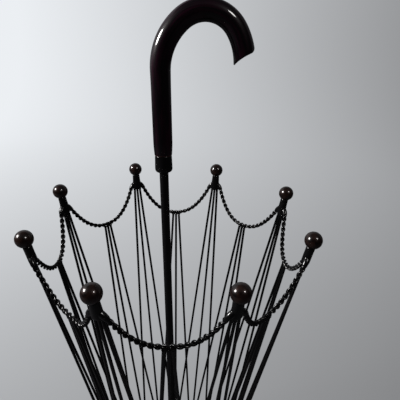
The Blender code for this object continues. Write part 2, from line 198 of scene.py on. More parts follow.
class Nodes:
    """Adds nodes to one tree."""

    def __init__(self, tree):
        self.tree = tree

    def node(self, kind, settings=None, sockets=None):
        """A new node: its settings come first, then the values or links of its sockets."""
        made = self.tree.nodes.new(kind)
        for key, value in (settings or {}).items():
            setattr(made, key, value)
        for key, value in (sockets or {}).items():
            self.feed(made.inputs[key], value)
        return made

    def out(self, kind, settings=None, sockets=None, output=0):
        """As node, but returns one of its outputs."""
        return Socket(self, self.node(kind, settings, sockets).outputs[output])

    def feed(self, target, value):
        """Links a Socket to an input, or sets the input to a plain value."""
        if isinstance(value, Socket):
            self.tree.links.new(value.output, target)
        else:
            target.default_value = value

    def noise(self, vector, scale, detail=4.0, roughness=0.55):
        sockets = {"Vector": vector, "Scale": scale, "Detail": detail, "Roughness": roughness}
        return self.out("ShaderNodeTexNoise", None, sockets, "Fac")

    def mix(self, factor, first, second):
        """A colour between two others; the Mix node's colour sockets go by number."""
        sockets = {0: factor, 6: first, 7: second}
        return self.out("ShaderNodeMix", {"data_type": "RGBA"}, sockets, 2)

    def stretch(self, vector, along):
        """A vector with its Z scaled, so that a pattern is drawn out along the piece."""
        sockets = {0: vector, 1: (1.0, 1.0, along)}
        return self.out("ShaderNodeVectorMath", {"operation": "MULTIPLY"}, sockets)

    def object_place(self):
        return self.out("ShaderNodeTexCoord", None, None, "Object")


def colour4(colour):
    return (*colour, 1.0)


def new_material(name):
    """A material with its Principled shader and a tree to add nodes to."""
    material = bpy.data.materials.new(name)
    material.use_nodes = True
    nodes = Nodes(material.node_tree)
    shader = material.node_tree.nodes["Principled BSDF"]
    return material, nodes, shader


def finish_shader(nodes, shader, linked, plain):
    """Fills in the Principled shader: what varies over the surface, then the plain values."""
    for name, value in {**linked, **plain}.items():
        nodes.feed(shader.inputs[name], value)


def bump(nodes, height, strength, distance):
    sockets = {"Height": height, "Strength": strength, "Distance": distance}
    return nodes.out("ShaderNodeBump", None, sockets, "Normal")


def enamel_material(colours):
    """Black enamel: faint orange peel, cloudy gloss, and a little dust on upward faces."""
    material, nodes, shader = new_material("black_enamel_finish")
    place = nodes.object_place()
    normal = nodes.out("ShaderNodeNewGeometry", None, None, "Normal")
    up = nodes.out("ShaderNodeSeparateXYZ", None, {0: normal}, "Z")
    cloud = nodes.noise(place, 60.0, 5.0)
    speck = nodes.noise(place, 900.0, 3.0, 0.6)
    dust = ((up * 0.8 + cloud - 0.75) * 1.6).clamped() * 0.55
    linked = {
        "Base Color": nodes.mix(dust, colour4(colours.enamel), colour4(colours.enamel_dust)),
        "Roughness": (0.13 + cloud * 0.12 + dust * 0.20).clamped(),
        "Normal": bump(nodes, speck + cloud * 0.4, 0.04, 0.0004),
    }
    plain = {"Specular IOR Level": 0.55, "Coat Weight": 0.35, "Coat Roughness": 0.10}
    finish_shader(nodes, shader, linked, plain)
    return material


def bronze_material(colours):
    """Dark brown enamel of the balls: mottled under a clear, mirror-smooth coat."""
    material, nodes, shader = new_material("bronze_enamel_finish")
    place = nodes.object_place()
    blotch = nodes.noise(place, 130.0, 5.0, 0.6)
    fine = nodes.noise(place, 1100.0, 2.0)
    share = ((blotch - 0.36) * 2.6).clamped()
    linked = {
        "Base Color": nodes.mix(share, colour4(colours.bronze_dark), colour4(colours.bronze)),
        "Roughness": 0.24 + blotch * 0.14,
        "Metallic": 0.25 + share * 0.25,
        "Normal": bump(nodes, fine, 0.03, 0.0003),
    }
    plain = {"Coat Weight": 1.0, "Coat Roughness": 0.07, "Coat IOR": 1.6}
    finish_shader(nodes, shader, linked, plain)
    return material


def wood_material(colours):
    """Bent wood under thick lacquer: dark streaks that follow the bend, with red between them."""
    material, nodes, shader = new_material("lacquered_wood_finish")
    grain = nodes.out("ShaderNodeAttribute", {"attribute_name": "grain"}, None, "Vector")
    stretched, wide = nodes.stretch(grain, 0.035), nodes.stretch(grain, 0.22)
    streak = nodes.noise(stretched, 420.0, 6.0, 0.65)
    figure = nodes.noise(wide, 90.0, 3.0)
    pores = nodes.noise(stretched, 1500.0, 2.0)
    red = ((streak - 0.42) * 2.4 + (figure - 0.5) * 2.2).clamped()
    length = nodes.out("ShaderNodeSeparateXYZ", None, {0: grain}, "Z")
    seam = ((0.0011 - length) * 2500.0).clamped()
    body = nodes.mix(red * 0.75, colour4(colours.wood), colour4(colours.wood_red))
    linked = {
        "Base Color": nodes.mix(seam, body, colour4(colours.wood_seam)),
        "Roughness": 0.30 + pores * 0.15,
        "Normal": bump(nodes, streak + pores * 0.3, 0.02, 0.0004),
    }
    plain = {
        "Specular IOR Level": 0.15, "Coat Weight": 1.0, "Coat Roughness": 0.06, "Coat IOR": 1.55,
    }
    finish_shader(nodes, shader, linked, plain)
    return material


def zinc_material(colours):
    """Zinc-plated steel of the hidden screws, with cloudy spangle."""
    material, nodes, shader = new_material("zinc_steel_finish")
    place = nodes.object_place()
    spangle = nodes.noise(place, 500.0, 3.0)
    dull = colour4([c * 0.75 for c in colours.zinc])
    linked = {
        "Base Color": nodes.mix(spangle, dull, colour4(colours.zinc)),
        "Roughness": 0.22 + spangle * 0.25,
        "Normal": bump(nodes, spangle, 0.05, 0.0002),
    }
    finish_shader(nodes, shader, linked, {"Metallic": 1.0})
    return material


FINISHES = {
    "black_enamel": enamel_material,
    "bronze_enamel": bronze_material,
    "lacquered_wood": wood_material,
    "zinc_steel": zinc_material,
}


def finish(slot):
    """The finished material of one of the record's slots, made once."""
    name = slot + "_finish"
    if name not in bpy.data.materials:
        FINISHES[slot](bpy.context.scene.stand_colours)
    return bpy.data.materials[name]


# ---- meshes --------------------------------------------------------------------------------
def spokes(count):
    """Angles of a ring's points."""
    return [2 * math.pi * k / count for k in range(count)]


def bow(start, corner, end, t):
    """Point of the curve that leaves start towards corner and reaches end from there."""
    return start * (1 - t) ** 2 + corner * 2 * t * (1 - t) + end * t ** 2


def new_mesh(name, verts, faces, sharp=40.0):
    """A smooth mesh, with the edges sharper than this angle kept sharp."""
    mesh = bpy.data.meshes.new(name)
    mesh.from_pydata([tuple(v) for v in verts], [], faces)
    mesh.shade_smooth()
    mesh.set_sharp_from_angle(angle=math.radians(sharp))
    return mesh


def add_piece(name, mesh, slot, body, *nodes):
    """Shows a finished mesh, lets it ride on its body and stand for its CAD nodes."""
    piece = bpy.data.objects.new(name, mesh)
    bpy.context.scene.collection.objects.link(piece)
    if not mesh.materials:
        mesh.materials.append(finish(slot))
    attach(piece, body)
    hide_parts(*nodes)


def rounded(points, radius, steps=4):
    """Outline with its inner corners replaced by curves of about this radius."""
    line = [points[0]]
    for before, corner, after in zip(points, points[1:], points[2:]):
        a, c, b = Vector(before), Vector(corner), Vector(after)
        cut = min(radius, (a - c).length * 0.45, (b - c).length * 0.45)
        start, end = c + (a - c).normalized() * cut, c + (b - c).normalized() * cut
        line += [tuple(bow(start, c, end, k / steps)) for k in range(steps + 1)]
    line.append(points[-1])
    return line


def lathe_data(profile, steps, closed=False):
    """Verts and faces of a solid turned about Z; the profile runs down its outside."""
    verts, rows = [], []
    for radius, height in profile:
        if radius == 0:
            rows.append([len(verts)] * steps)
            verts.append(Vector((0, 0, height)))
            continue
        rows.append(list(range(len(verts), len(verts) + steps)))
        verts += [
            Vector((radius * math.cos(a), radius * math.sin(a), height)) for a in spokes(steps)
        ]
    if closed:
        rows.append(rows[0])
    faces = []
    for upper, lower in zip(rows, rows[1:]):
        for k in range(steps):
            n = (k + 1) % steps
            faces.append(tuple(dict.fromkeys((upper[k], lower[k], lower[n], upper[n]))))
    return verts, faces


def turned(name, profile, steps, place=Matrix.Identity(4), closed=False, sharp=40.0):
    """Mesh of a turned solid, moved to its place."""
    verts, faces = lathe_data(profile, steps, closed)
    return new_mesh(name, [place @ v for v in verts], faces, sharp)


def skin(rings):
    """Verts and faces of a tube through equal rings, open at both ends."""
    sides = len(rings[0])
    verts = [v for ring in rings for v in ring]
    faces = []
    for i in range(len(rings) - 1):
        a, b = i * sides, (i + 1) * sides
        faces += [(a + k, a + (k + 1) % sides, b + (k + 1) % sides, b + k) for k in range(sides)]
    return verts, faces


def capped(rings):
    """As skin, with a flat face on each end."""
    verts, faces = skin(rings)
    sides = len(rings[0])
    faces.append(tuple(range(sides))[::-1])
    faces.append(tuple(range(len(verts) - sides, len(verts))))
    return verts, faces


def plain_copy(source):
    """The evaluated shape of an object as a mesh of its own; the source is then removed."""
    bpy.context.view_layer.update()
    graph = bpy.context.evaluated_depsgraph_get()
    mesh = bpy.data.meshes.new_from_object(source.evaluated_get(graph), depsgraph=graph)
    bpy.data.objects.remove(source, do_unlink=True)
    return mesh


# ---- geometry nodes ------------------------------------------------------------------------
def geometry_tree(name, inputs):
    """An empty geometry tree with named inputs; returns it and each input's socket."""
    tree = bpy.data.node_groups.new(name, "GeometryNodeTree")
    tree.interface.new_socket("Geometry", in_out="INPUT", socket_type="NodeSocketGeometry")
    for label, kind in inputs.items():
        tree.interface.new_socket(label, in_out="INPUT", socket_type="NodeSocket" + kind)
    tree.interface.new_socket("Geometry", in_out="OUTPUT", socket_type="NodeSocketGeometry")
    nodes = Nodes(tree)
    group = tree.nodes.new("NodeGroupInput")
    return tree, nodes, {s.name: Socket(nodes, s) for s in group.outputs if s.name}


def close_tree(nodes, geometry, material):
    """Ends a tree: real geometry, smooth, with its finish."""
    real = nodes.out("GeometryNodeRealizeInstances", None, {0: geometry})
    smooth = nodes.out("GeometryNodeSetShadeSmooth", None, {0: real})
    painted = nodes.out("GeometryNodeSetMaterial", None, {0: smooth, "Material": material})
    nodes.node("NodeGroupOutput", None, {0: painted})


def strand_tree():
    """Two strands twisted round each other along a curve."""
    kinds = {
        "Strand Radius": "Float", "Twist Pitch": "Float", "Step": "Float", "Finish": "Material",
    }
    tree, nodes, given = geometry_tree("twisted_strands", kinds)
    radius = given["Strand Radius"]
    even = nodes.out("GeometryNodeResampleCurve", {"mode": "LENGTH"},
                     {"Curve": given["Geometry"], "Length": given["Step"]})
    run = nodes.out("GeometryNodeSplineParameter", None, None, "Length")
    turn = run / given["Twist Pitch"] * (2 * math.pi)
    tilted = nodes.out("GeometryNodeSetCurveTilt", None, {"Curve": even, "Tilt": turn})
    circle = nodes.out("GeometryNodeCurvePrimitiveCircle", {"mode": "RADIUS"},
                       {"Resolution": 12, "Radius": radius})
    both = nodes.node("GeometryNodeJoinGeometry")
    for side in (-1, 1):
        offset = nodes.out("ShaderNodeCombineXYZ", None, {"X": radius * side})
        moved = nodes.out("GeometryNodeTransform", None,
                          {"Geometry": circle, "Translation": offset, "Scale": (1.0, 1.18, 1.0)})
        nodes.feed(both.inputs[0], moved)
    pair = Socket(nodes, both.outputs[0])
    rope = nodes.out("GeometryNodeCurveToMesh", None,
                     {"Curve": tilted, "Profile Curve": pair, "Fill Caps": True})
    close_tree(nodes, rope, given["Finish"])
    return tree


def wire_tree():
    """Round wires along a mesh's edges, with a weld bead on each of its points."""
    kinds = {"Wire Radius": "Float", "Weld Radius": "Float", "Sides": "Int", "Finish": "Material"}
    tree, nodes, given = geometry_tree("straight_wires", kinds)
    curve = nodes.out("GeometryNodeMeshToCurve", None, {0: given["Geometry"]})
    circle = nodes.out("GeometryNodeCurvePrimitiveCircle", {"mode": "RADIUS"},
                       {"Resolution": given["Sides"], "Radius": given["Wire Radius"]})
    wires = nodes.out("GeometryNodeCurveToMesh", None,
                      {"Curve": curve, "Profile Curve": circle, "Fill Caps": True})
    bead = nodes.out("GeometryNodeMeshUVSphere", None,
                     {"Segments": 12, "Rings": 8, "Radius": given["Weld Radius"]})
    beads = nodes.out("GeometryNodeInstanceOnPoints", None,
                      {"Points": given["Geometry"], "Instance": bead, "Scale": (1.0, 1.0, 0.72)})
    both = nodes.node("GeometryNodeJoinGeometry")
    nodes.feed(both.inputs[0], wires)
    nodes.feed(both.inputs[0], beads)
    close_tree(nodes, Socket(nodes, both.outputs[0]), given["Finish"])
    return tree


def through_nodes(source, tree, values):
    """Runs an object through a geometry tree and returns the result as a plain mesh."""
    modifier = source.modifiers.new(tree.name, "NODES")
    modifier.node_group = tree
    for item in tree.interface.items_tree:
        if item.in_out == "INPUT" and item.name in values:
            modifier[item.identifier] = values[item.name]
    return plain_copy(source)


# ---- places on the rim ---------------------------------------------------------------------
def wire_circles(sizes):
    """Radii on the base ring of the wires from the finials and from the swags."""
    middle = RING_HIGH.x - RING_WIDTH / 2
    return middle + sizes.wire_stagger / 2, middle - sizes.wire_stagger / 2


def finial_place(sizes, angle):
    """Matrix of a finial: origin at its ball's centre, local Z up the leaning neck."""
    finial_circle, _ = wire_circles(sizes)
    tilt = math.atan2(RIM_RADIUS - finial_circle, RIM_HEIGHT - RING_HIGH.z)
    lean = Matrix.Translation((RIM_RADIUS, 0, RIM_HEIGHT)) @ Matrix.Rotation(tilt, 4, "Y")
    return Matrix.Rotation(angle, 4, "Z") @ lean


def finial_angle(number):
    """Azimuth of a finial; none stands on azimuth 0."""
    return (number - 0.5) * RIB_STEP


def swag_line(sizes, share):
    """Point of the swag about azimuth 0; share runs from -1 to 1 between its two arms."""
    arm = Vector((0, sizes.arm_reach, -sizes.arm_drop))
    end = finial_place(sizes, -RIB_STEP / 2) @ arm
    bottom = SWAG_LOWEST + sizes.swag
    height = bottom + (end.z - bottom) * abs(share) ** sizes.swag_power
    return Vector((end.x - sizes.swag_bow * (1 - share ** 2), -end.y * share, height))


# ---- handle --------------------------------------------------------------------------------
class HookPath:
    """Centreline of the crook in the pole's frame, by length from the wood's foot."""

    def __init__(self, foot, straight):
        self.runs = [(straight, Vector((0, 0, foot)), 0.0, math.inf)]
        point, heading = Vector((0, 0, foot + straight)), 0.0
        for radius, degrees in HOOK_ARCS:
            turn = math.radians(degrees)
            self.runs.append((radius * turn, point, heading, radius))
            point = self.arc(point, heading, radius, turn)
            heading += turn
        self.length = sum(run[0] for run in self.runs)

    @staticmethod
    def arc(point, heading, radius, turn):
        """Where an arc ends that starts here and bends towards +X."""
        now = heading + turn
        return point + radius * Vector((math.cos(heading) - math.cos(now), 0,
                                        math.sin(now) - math.sin(heading)))

    def at(self, length):
        """Point of the centreline and the direction out of its bend; straight on past the end."""
        left = length
        for run, (size, point, heading, radius) in enumerate(self.runs):
            if left <= size or run == len(self.runs) - 1:
                break
            left -= size
        over = max(0.0, left - size)
        left -= over
        if radius == math.inf:
            place, now = point + Vector((0, 0, left)), heading
        else:
            place, now = self.arc(point, heading, radius, left / radius), heading + left / radius
        ahead = Vector((math.sin(now), 0, math.cos(now)))
        return place + ahead * over, Vector((math.cos(now), 0, -math.sin(now)))


def handle_radius(sizes, length):
    """Thickness of the wood by length from its foot."""
    if length < sizes.taper:
        swell = math.sin(max(0.0, length) / sizes.taper * math.pi / 2)
        return HANDLE_FOOT_RADIUS + (GRIP_RADIUS - HANDLE_FOOT_RADIUS) * swell
    share = min(1.0, max(0.0, (length - sizes.grip + 0.02) / 0.06))
    return GRIP_RADIUS + (HOOK_RADIUS - GRIP_RADIUS) * share * share * (3 - 2 * share)


def scoop_depth(across):
    """How far the hollow end stands past the path's end, at this distance across the bend."""
    centre_out = math.sin(END_CUT) * -(END_SCOOP_RADIUS - END_SCOOP_DEPTH)
    centre_on = math.cos(END_CUT) * (END_SCOOP_RADIUS - END_SCOOP_DEPTH)
    reach = END_SCOOP_RADIUS ** 2 - (across - centre_out) ** 2
    return centre_on - math.sqrt(reach)


def crook_mesh(sizes, foot, bore, bore_depth):
    """The crook: bored foot, swelling grip, hook in three arcs and a hollow, slanted end."""
    path, around, chamfer, tail = HookPath(foot, sizes.grip), spokes(HANDLE_SIDES), 0.0003, 0.016

    def edge(angle):
        """Rounding of the end's rim: small at the inner tip, large at the outer corner."""
        return END_EDGE * (1 - 0.75 * math.cos(angle))

    def rim(angle):
        """Where the end's rim lies, by length along the path."""
        return path.length + scoop_depth((HOOK_RADIUS - edge(angle)) * math.cos(angle))

    def wood(length, angle):
        return length, handle_radius(sizes, length), angle

    # each ring is a list of points: length along the path, distance from it, angle round it
    bored = ((bore_depth, bore), (0.0, bore), (0.0, HANDLE_FOOT_RADIUS - chamfer))
    rings = [[(length, radius, a) for a in around] for length, radius in bored]
    lengths = [chamfer] + [sizes.taper * k / 6 for k in range(1, 7)]
    bent, steps = path.length - tail - sizes.taper, 84
    lengths += [sizes.taper + bent * k / steps for k in range(1, steps + 1)]
    rings += [[wood(length, a) for a in around] for length in lengths]
    last = lengths[-1]
    for k in range(1, 6):
        rings.append([wood(last + (rim(a) - edge(a) - last) * k / 5, a) for a in around])
    for k in range(1, 7):
        over, inward = 1 - math.sin(math.pi / 2 * k / 6), 1 - math.cos(math.pi / 2 * k / 6)
        rings.append([
            (rim(a) - edge(a) * over, HOOK_RADIUS - edge(a) * inward, a) for a in around
        ])
    for share in (0.8, 0.6, 0.4, 0.2):
        reaches = [(HOOK_RADIUS - edge(a)) * share for a in around]
        rings.append([
            (path.length + scoop_depth(reach * math.cos(a)), reach, a)
            for reach, a in zip(reaches, around)
        ])

    points = [point for ring in rings for point in ring]
    points += [(bore_depth, 0.0, 0.0), (path.length + scoop_depth(0.0), 0.0, 0.0)]
    verts, grain = [], []
    for length, radius, angle in points:
        across, aside = radius * math.cos(angle), radius * math.sin(angle)
        centre, outward = path.at(length)
        verts.append(POLE_PLACE @ (centre + outward * across + Vector((0, aside, 0))))
        grain += (across, aside, length)
    _, faces = skin(rings)
    first, last = len(verts) - 2, len(verts) - 1
    top = (len(rings) - 1) * HANDLE_SIDES
    for k in range(HANDLE_SIDES):
        n = (k + 1) % HANDLE_SIDES
        faces.append((n, k, first))
        faces.append((top + k, top + n, last))
    mesh = new_mesh("crook", verts, faces, 50.0)
    store = mesh.attributes.new("grain", "FLOAT_VECTOR", "POINT")
    store.data.foreach_set("vector", grain)
    return mesh


def ferrule_mesh(sizes, low, high, bore):
    """Turned collar: slightly flared, round below, with a fine lip under the wood."""
    outer = reach_of("handle_ferrule") - 0.0001
    socket, web = reach_of("pole") + GAP, along_pole("pole")[1] + GAP
    outside = [
        (bore, high), (outer - 0.0005, high), (outer - 0.0003, high - 0.0040),
        (outer, low + 0.0060), (outer, low + 0.0030), (outer - 0.0009, low + 0.0009),
        (outer - 0.0030, low), (socket, low),
    ]
    profile = rounded(outside, 0.0009, 4) + [(socket, web), (bore, web)]
    return turned("ferrule", profile, sizes.sides, POLE_PLACE, closed=True)


def stud_mesh(low, high, radius):
    """Threaded rod: a V thread of the real pitch wound on a core, with plain pointed ends."""
    sides, depth = 20, THREAD_PITCH * 0.54
    core, thread = [radius - depth] * sides, high - low - 2 * THREAD_PITCH
    count = int((thread / THREAD_PITCH + 1) * 4)

    def ring(height, radii):
        return [
            Vector((r * math.cos(a), r * math.sin(a), height)) for r, a in zip(radii, spokes(sides))
        ]

    rings = [ring(low, core)]
    for step in range(count):
        height = low + THREAD_PITCH + thread * step / (count - 1)
        phases = [(height / THREAD_PITCH - k / sides) % 1.0 for k in range(sides)]
        rings.append(ring(height, [radius - depth * abs(2 * phase - 1) for phase in phases]))
    rings.append(ring(high, core))
    verts, faces = capped(rings)
    return new_mesh("stud", [POLE_PLACE @ v for v in verts], faces, 30.0)


class STAND_OT_handle(bpy.types.Operator):
    """Build the crook, the ferrule under it and the threaded stud between them"""
    bl_idname = "stand.handle"
    bl_label = "Crook Handle"

    def execute(self, context):
        sizes = context.scene.stand_sizes
        stud_low, stud_high = along_pole("handle_stud")
        stud_radius = reach_of("handle_stud")
        bore = stud_radius + GAP
        low, high = along_pole("handle_ferrule")
        foot = along_pole("crook_handle")[0] - HANDLE_SEAT
        crook = crook_mesh(sizes, foot, bore, stud_high - foot + GAP)
        add_piece("crook_handle_wood", crook, "lacquered_wood", "handle", "crook_handle")
        ferrule = ferrule_mesh(sizes, low, high, bore)
        add_piece("handle_ferrule_collar", ferrule, "black_enamel", "ferrule", "handle_ferrule")
        stud = stud_mesh(stud_low, stud_high, stud_radius)
        add_piece("handle_stud_thread", stud, "zinc_steel", "handle", "handle_stud")
        return {"FINISHED"}


# ---- pole ----------------------------------------------------------------------------------
class STAND_OT_pole(bpy.types.Operator):
    """Build the tube with rounded rims, and finish the threaded inserts inside it"""
    bl_idname = "stand.pole"
    bl_label = "Pole"

    def execute(self, context):
        low, high = along_pole("pole")
        outer, edge = reach_of("pole"), 0.0003
        inner = outer - POLE_WALL
        profile = [
            (inner, high), (outer - edge, high), (outer, high - edge), (outer, low + edge),
            (outer - edge, low), (inner, low),
        ]
        tube = turned("pole", profile, 40, POLE_PLACE, closed=True)
        add_piece("pole_tube", tube, "black_enamel", "stand", "pole")
        for node in ("pole_top_insert", "pole_foot_insert"):
            for slot in frame["nodes"][node].material_slots:
                slot.material = finish("zinc_steel")
        return {"FINISHED"}


# ---- finials -------------------------------------------------------------------------------
def ball_mesh(place):
    """Ball turned with a flat seat and a blind hole for the neck's peg."""
    radius, flat, hole, hole_depth = BALL_RADIUS, 0.0043, 0.0025, 0.0052
    seat = -math.sqrt(radius ** 2 - flat ** 2)
    low = math.acos(seat / radius)
    steps = 26
    profile = [(0, radius)]
    profile += [
        (radius * math.sin(low * k / steps), radius * math.cos(low * k / steps))
        for k in range(1, steps + 1)
    ]
    profile += [(hole, seat), (hole, seat + hole_depth), (0, seat + hole_depth)]
    return turned("ball", profile, 48, place)


def neck_body(sizes):
    """Rings of the neck: peg in the ball, waist, and a flattened, flaring foot."""
    top, foot, peg, peg_length = -BALL_RADIUS * 0.905, -sizes.neck, 0.0022, 0.0046
    shape = [   # height, half depth, half width
        (foot, 0.0038, 0.0060), (foot + 0.0008, 0.0047, 0.0070), (foot + 0.0040, 0.0050, 0.0070),
        (foot + 0.0085, 0.0050, 0.0065), (foot + 0.0125, 0.0050, 0.0060),
        (foot + 0.0165, 0.0050, 0.0057), (top - 0.0020, 0.0051, 0.0055), (top, 0.0051, 0.0052),
        (top + 0.0007, 0.0036, 0.0036), (top + 0.0009, peg, peg), (top + peg_length, peg, peg),
    ]
    return [
        [Vector((d * math.cos(a), w * math.sin(a), z)) for a in spokes(24)] for z, d, w in shape
    ]


def arm_rings(sizes, mirror):
    """A stub that bends out of the neck's waist into the swag and narrows inside its strands."""
    local = finial_place(sizes, -RIB_STEP / 2).inverted()
    end = local @ swag_line(sizes, -1)
    ahead = (local @ swag_line(sizes, -0.97) - end).normalized()
    start, middle = Vector((0.0003, 0.0014, end.z + 0.0085)), end - ahead * 0.0050
    path = [bow(start, middle, end, k / 8) for k in range(9)] + [end + ahead * 0.0035]
    radii = (0.0030, 0.0032, 0.0034, 0.0035, 0.0035, 0.0034, 0.0033, 0.0032, 0.0030, 0.0021)
    rings = []
    for k, (centre, radius) in enumerate(zip(path, radii)):
        along = (path[min(k + 1, len(path) - 1)] - path[max(k - 1, 0)]).normalized()
        side = along.cross(Vector((1, 0, 0))).normalized()
        other = along.cross(side)
        ring = []
        for a in spokes(16):
            v = centre + side * (radius * math.cos(a)) + other * (radius * math.sin(a))
            ring.append(Vector((v.x, v.y * mirror, v.z)))
        rings.append(ring if mirror > 0 else ring[::-1])
    return rings


def neck_mesh(sizes):
    """Neck and its two arms melted into one casting, about the ball's centre."""
    verts, faces = [], []
    for rings in (neck_body(sizes), arm_rings(sizes, 1), arm_rings(sizes, -1)):
        more, around = capped(rings)
        faces += [tuple(i + len(verts) for i in face) for face in around]
        verts += more
    blank = bpy.data.objects.new("neck_blank", new_mesh("neck_blank", verts, faces))
    bpy.context.scene.collection.objects.link(blank)
    melt = blank.modifiers.new("Melt", "REMESH")
    melt.mode = "VOXEL"
    melt.voxel_size = 0.00042
    soften = blank.modifiers.new("Soften", "SMOOTH")
    soften.factor = 0.5
    soften.iterations = 7
    mesh = plain_copy(blank)
    mesh.shade_smooth()
    return mesh


class STAND_OT_finials(bpy.types.Operator):
    """Build the ball finials and the necks that carry them"""
    bl_idname = "stand.finials"
    bl_label = "Finials"

    def execute(self, context):
        sizes = context.scene.stand_sizes
        neck = neck_mesh(sizes)
        for number in range(1, RIB_COUNT + 1):
            place = finial_place(sizes, finial_angle(number))
            ball = ball_mesh(place)
            add_piece(f"ball_{number}_turned", ball, "bronze_enamel", "stand",
                      f"finial_ball_{number}")
            cast = neck.copy()
            cast.transform(place)
            add_piece(f"neck_{number}_cast", cast, "black_enamel", "stand",
                      f"finial_neck_{number}")
        return {"FINISHED"}


# ---- swags ---------------------------------------------------------------------------------
class STAND_OT_swags(bpy.types.Operator):
    """Build the hanging swags of two wires twisted together"""
    bl_idname = "stand.swags"
    bl_label = "Twisted Swags"

    def execute(self, context):
        sizes = context.scene.stand_sizes
        tree = strand_tree()
        values = {
            "Strand Radius": sizes.swag / 2, "Twist Pitch": sizes.twist, "Step": 0.0010,
            "Finish": finish("black_enamel"),
        }
        steps = 60
        line = [swag_line(sizes, -1.04 + 2.08 * k / steps) for k in range(steps + 1)]
        for number in range(1, RIB_COUNT + 1):
            turn = Matrix.Rotation(finial_angle(number) + RIB_STEP / 2, 4, "Z")
            curve = bpy.data.curves.new("swag_path", "CURVE")
            curve.dimensions = "3D"
            spline = curve.splines.new("POLY")
            spline.points.add(len(line) - 1)
            for point, place in zip(spline.points, line):
                point.co = (*(turn @ place), 1)
            source = bpy.data.objects.new("swag_path", curve)
            context.scene.collection.objects.link(source)
            rope = through_nodes(source, tree, values)
            add_piece(f"swag_{number}_twist", rope, "black_enamel", "stand", f"rim_swag_{number}")
        return {"FINISHED"}


# ---- wires ---------------------------------------------------------------------------------
def fan_lines(sizes, top, pitch, circle):
    """Ends of a fan's three wires, about azimuth 0."""
    lines = []
    for side in (-1, 0, 1):
        angle = side * (RIB_STEP / 2 - sizes.cluster / circle)
        foot = Vector((circle * math.cos(angle), circle * math.sin(angle), RING_HIGH.z))
        lines.append((top + Vector((0, side * pitch, 0)), foot))
    return lines


class STAND_OT_wires(bpy.types.Operator):
    """Build the fans of straight wire from the finials and swags down to the base ring"""
    bl_idname = "stand.wires"
    bl_label = "Wire Fans"

    def execute(self, context):
        sizes = context.scene.stand_sizes
        tree = wire_tree()
        values = {
            "Wire Radius": sizes.wire, "Weld Radius": sizes.weld, "Sides": 14,
            "Finish": finish("black_enamel"),
        }
        finial_circle, swag_circle = wire_circles(sizes)
        under_neck = finial_place(sizes, 0) @ Vector((0, 0, -sizes.neck - sizes.weld * 0.3))
        under_swag = swag_line(sizes, 0) - Vector((0, 0, sizes.swag + sizes.weld * 0.2))
        neck_fan = fan_lines(sizes, under_neck, sizes.finial_pitch, finial_circle)
        swag_fan = fan_lines(sizes, under_swag, sizes.swag_pitch, swag_circle)
        kinds = (("finial_wires", 0.0, neck_fan), ("swag_wires", RIB_STEP / 2, swag_fan))
        for kind, shift, lines in kinds:
            for number in range(1, RIB_COUNT + 1):
                turn = Matrix.Rotation(finial_angle(number) + shift, 4, "Z")
                ends = [turn @ end for line in lines for end in line]
                mesh = bpy.data.meshes.new(kind)
                mesh.from_pydata([tuple(v) for v in ends], [(0, 1), (2, 3), (4, 5)], [])
                source = bpy.data.objects.new(kind, mesh)
                context.scene.collection.objects.link(source)
                fan = through_nodes(source, tree, values)
                add_piece(f"{kind}_{number}_fan", fan, "black_enamel", "stand", f"{kind}_{number}")
        return {"FINISHED"}


# ---- base ----------------------------------------------------------------------------------
def pan_mesh():
    """Pressed pan: flat floor, curved wall and a rolled rim."""
    bottom, lip, rim, hole, slope = PAN_LOW.z, PAN_HIGH.z, PAN_HIGH.x, 0.0033, 0.0070
    floor, wall = rim - slope, rim - slope * 0.4
    outline = [
        (hole, bottom + PAN_SHEET), (floor - PAN_SHEET, bottom + PAN_SHEET),
        (wall - PAN_SHEET, lip - 0.0045), (rim - 0.0024, lip - 0.0006), (rim - 0.0012, lip),
        (rim, lip - 0.0008), (rim - 0.0004, lip - 0.0024), (wall - 0.0002, lip - 0.0055),
        (floor - 0.0002, bottom), (hole, bottom),
    ]
    return turned("pan", rounded(outline, 0.0030, 5), 96, closed=True, sharp=60.0)


def ring_mesh():
    """Flat hoop with rounded edges; its outline starts in the middle of the top."""
    outer = RING_HIGH.x - 0.00002
    inner, middle = outer - RING_WIDTH, outer - RING_WIDTH / 2
    top, bottom = RING_HIGH.z, RING_LOW.z
    outline = [
        (middle, top), (outer, top), (outer, bottom), (inner, bottom), (inner, top),
        (middle - 0.0001, top),
    ]
    return turned("ring", rounded(outline, 0.0010, 4), 96, closed=True)


def foot_mesh(centre):
    """Turned bun foot with a neck ring under the pan."""
    height = FOOT_HIGH.z - FOOT_LOW.z
    radius = (FOOT_HIGH.x - FOOT_LOW.x) / 2 - 0.0001
    outline = [
        (0, height), (0.0052, height), (0.0060, height - 0.0012), (0.0052, height - 0.0026),
        (radius * 0.86, height * 0.70), (radius, height * 0.46), (radius * 0.90, height * 0.20),
        (0.0055, 0), (0, 0),
    ]
    place = Matrix.Translation((*centre, FOOT_LOW.z))
    return turned("foot", rounded(outline, 0.0030, 5), 40, place)


def bolt_mesh():
    """Button-head bolt with a socket in its head."""
    low, high = along_pole("base_bolt")
    head, shank, socket, socket_depth = reach_of("base_bolt"), 0.0030, 0.0022, 0.0020
    under = along_pole("base_washer")[0] - GAP
    outline = [
        (0, high), (shank - 0.0006, high), (shank, high - 0.0008), (shank, under), (head, under),
        (head - 0.0004, under - 0.0012), (head - 0.0022, low), (socket + 0.0001, low),
    ]
    profile = rounded(outline, 0.0006, 3)
    profile += [(socket, low + socket_depth), (0, low + socket_depth)]
    return turned("bolt", profile, 36, POLE_PLACE)


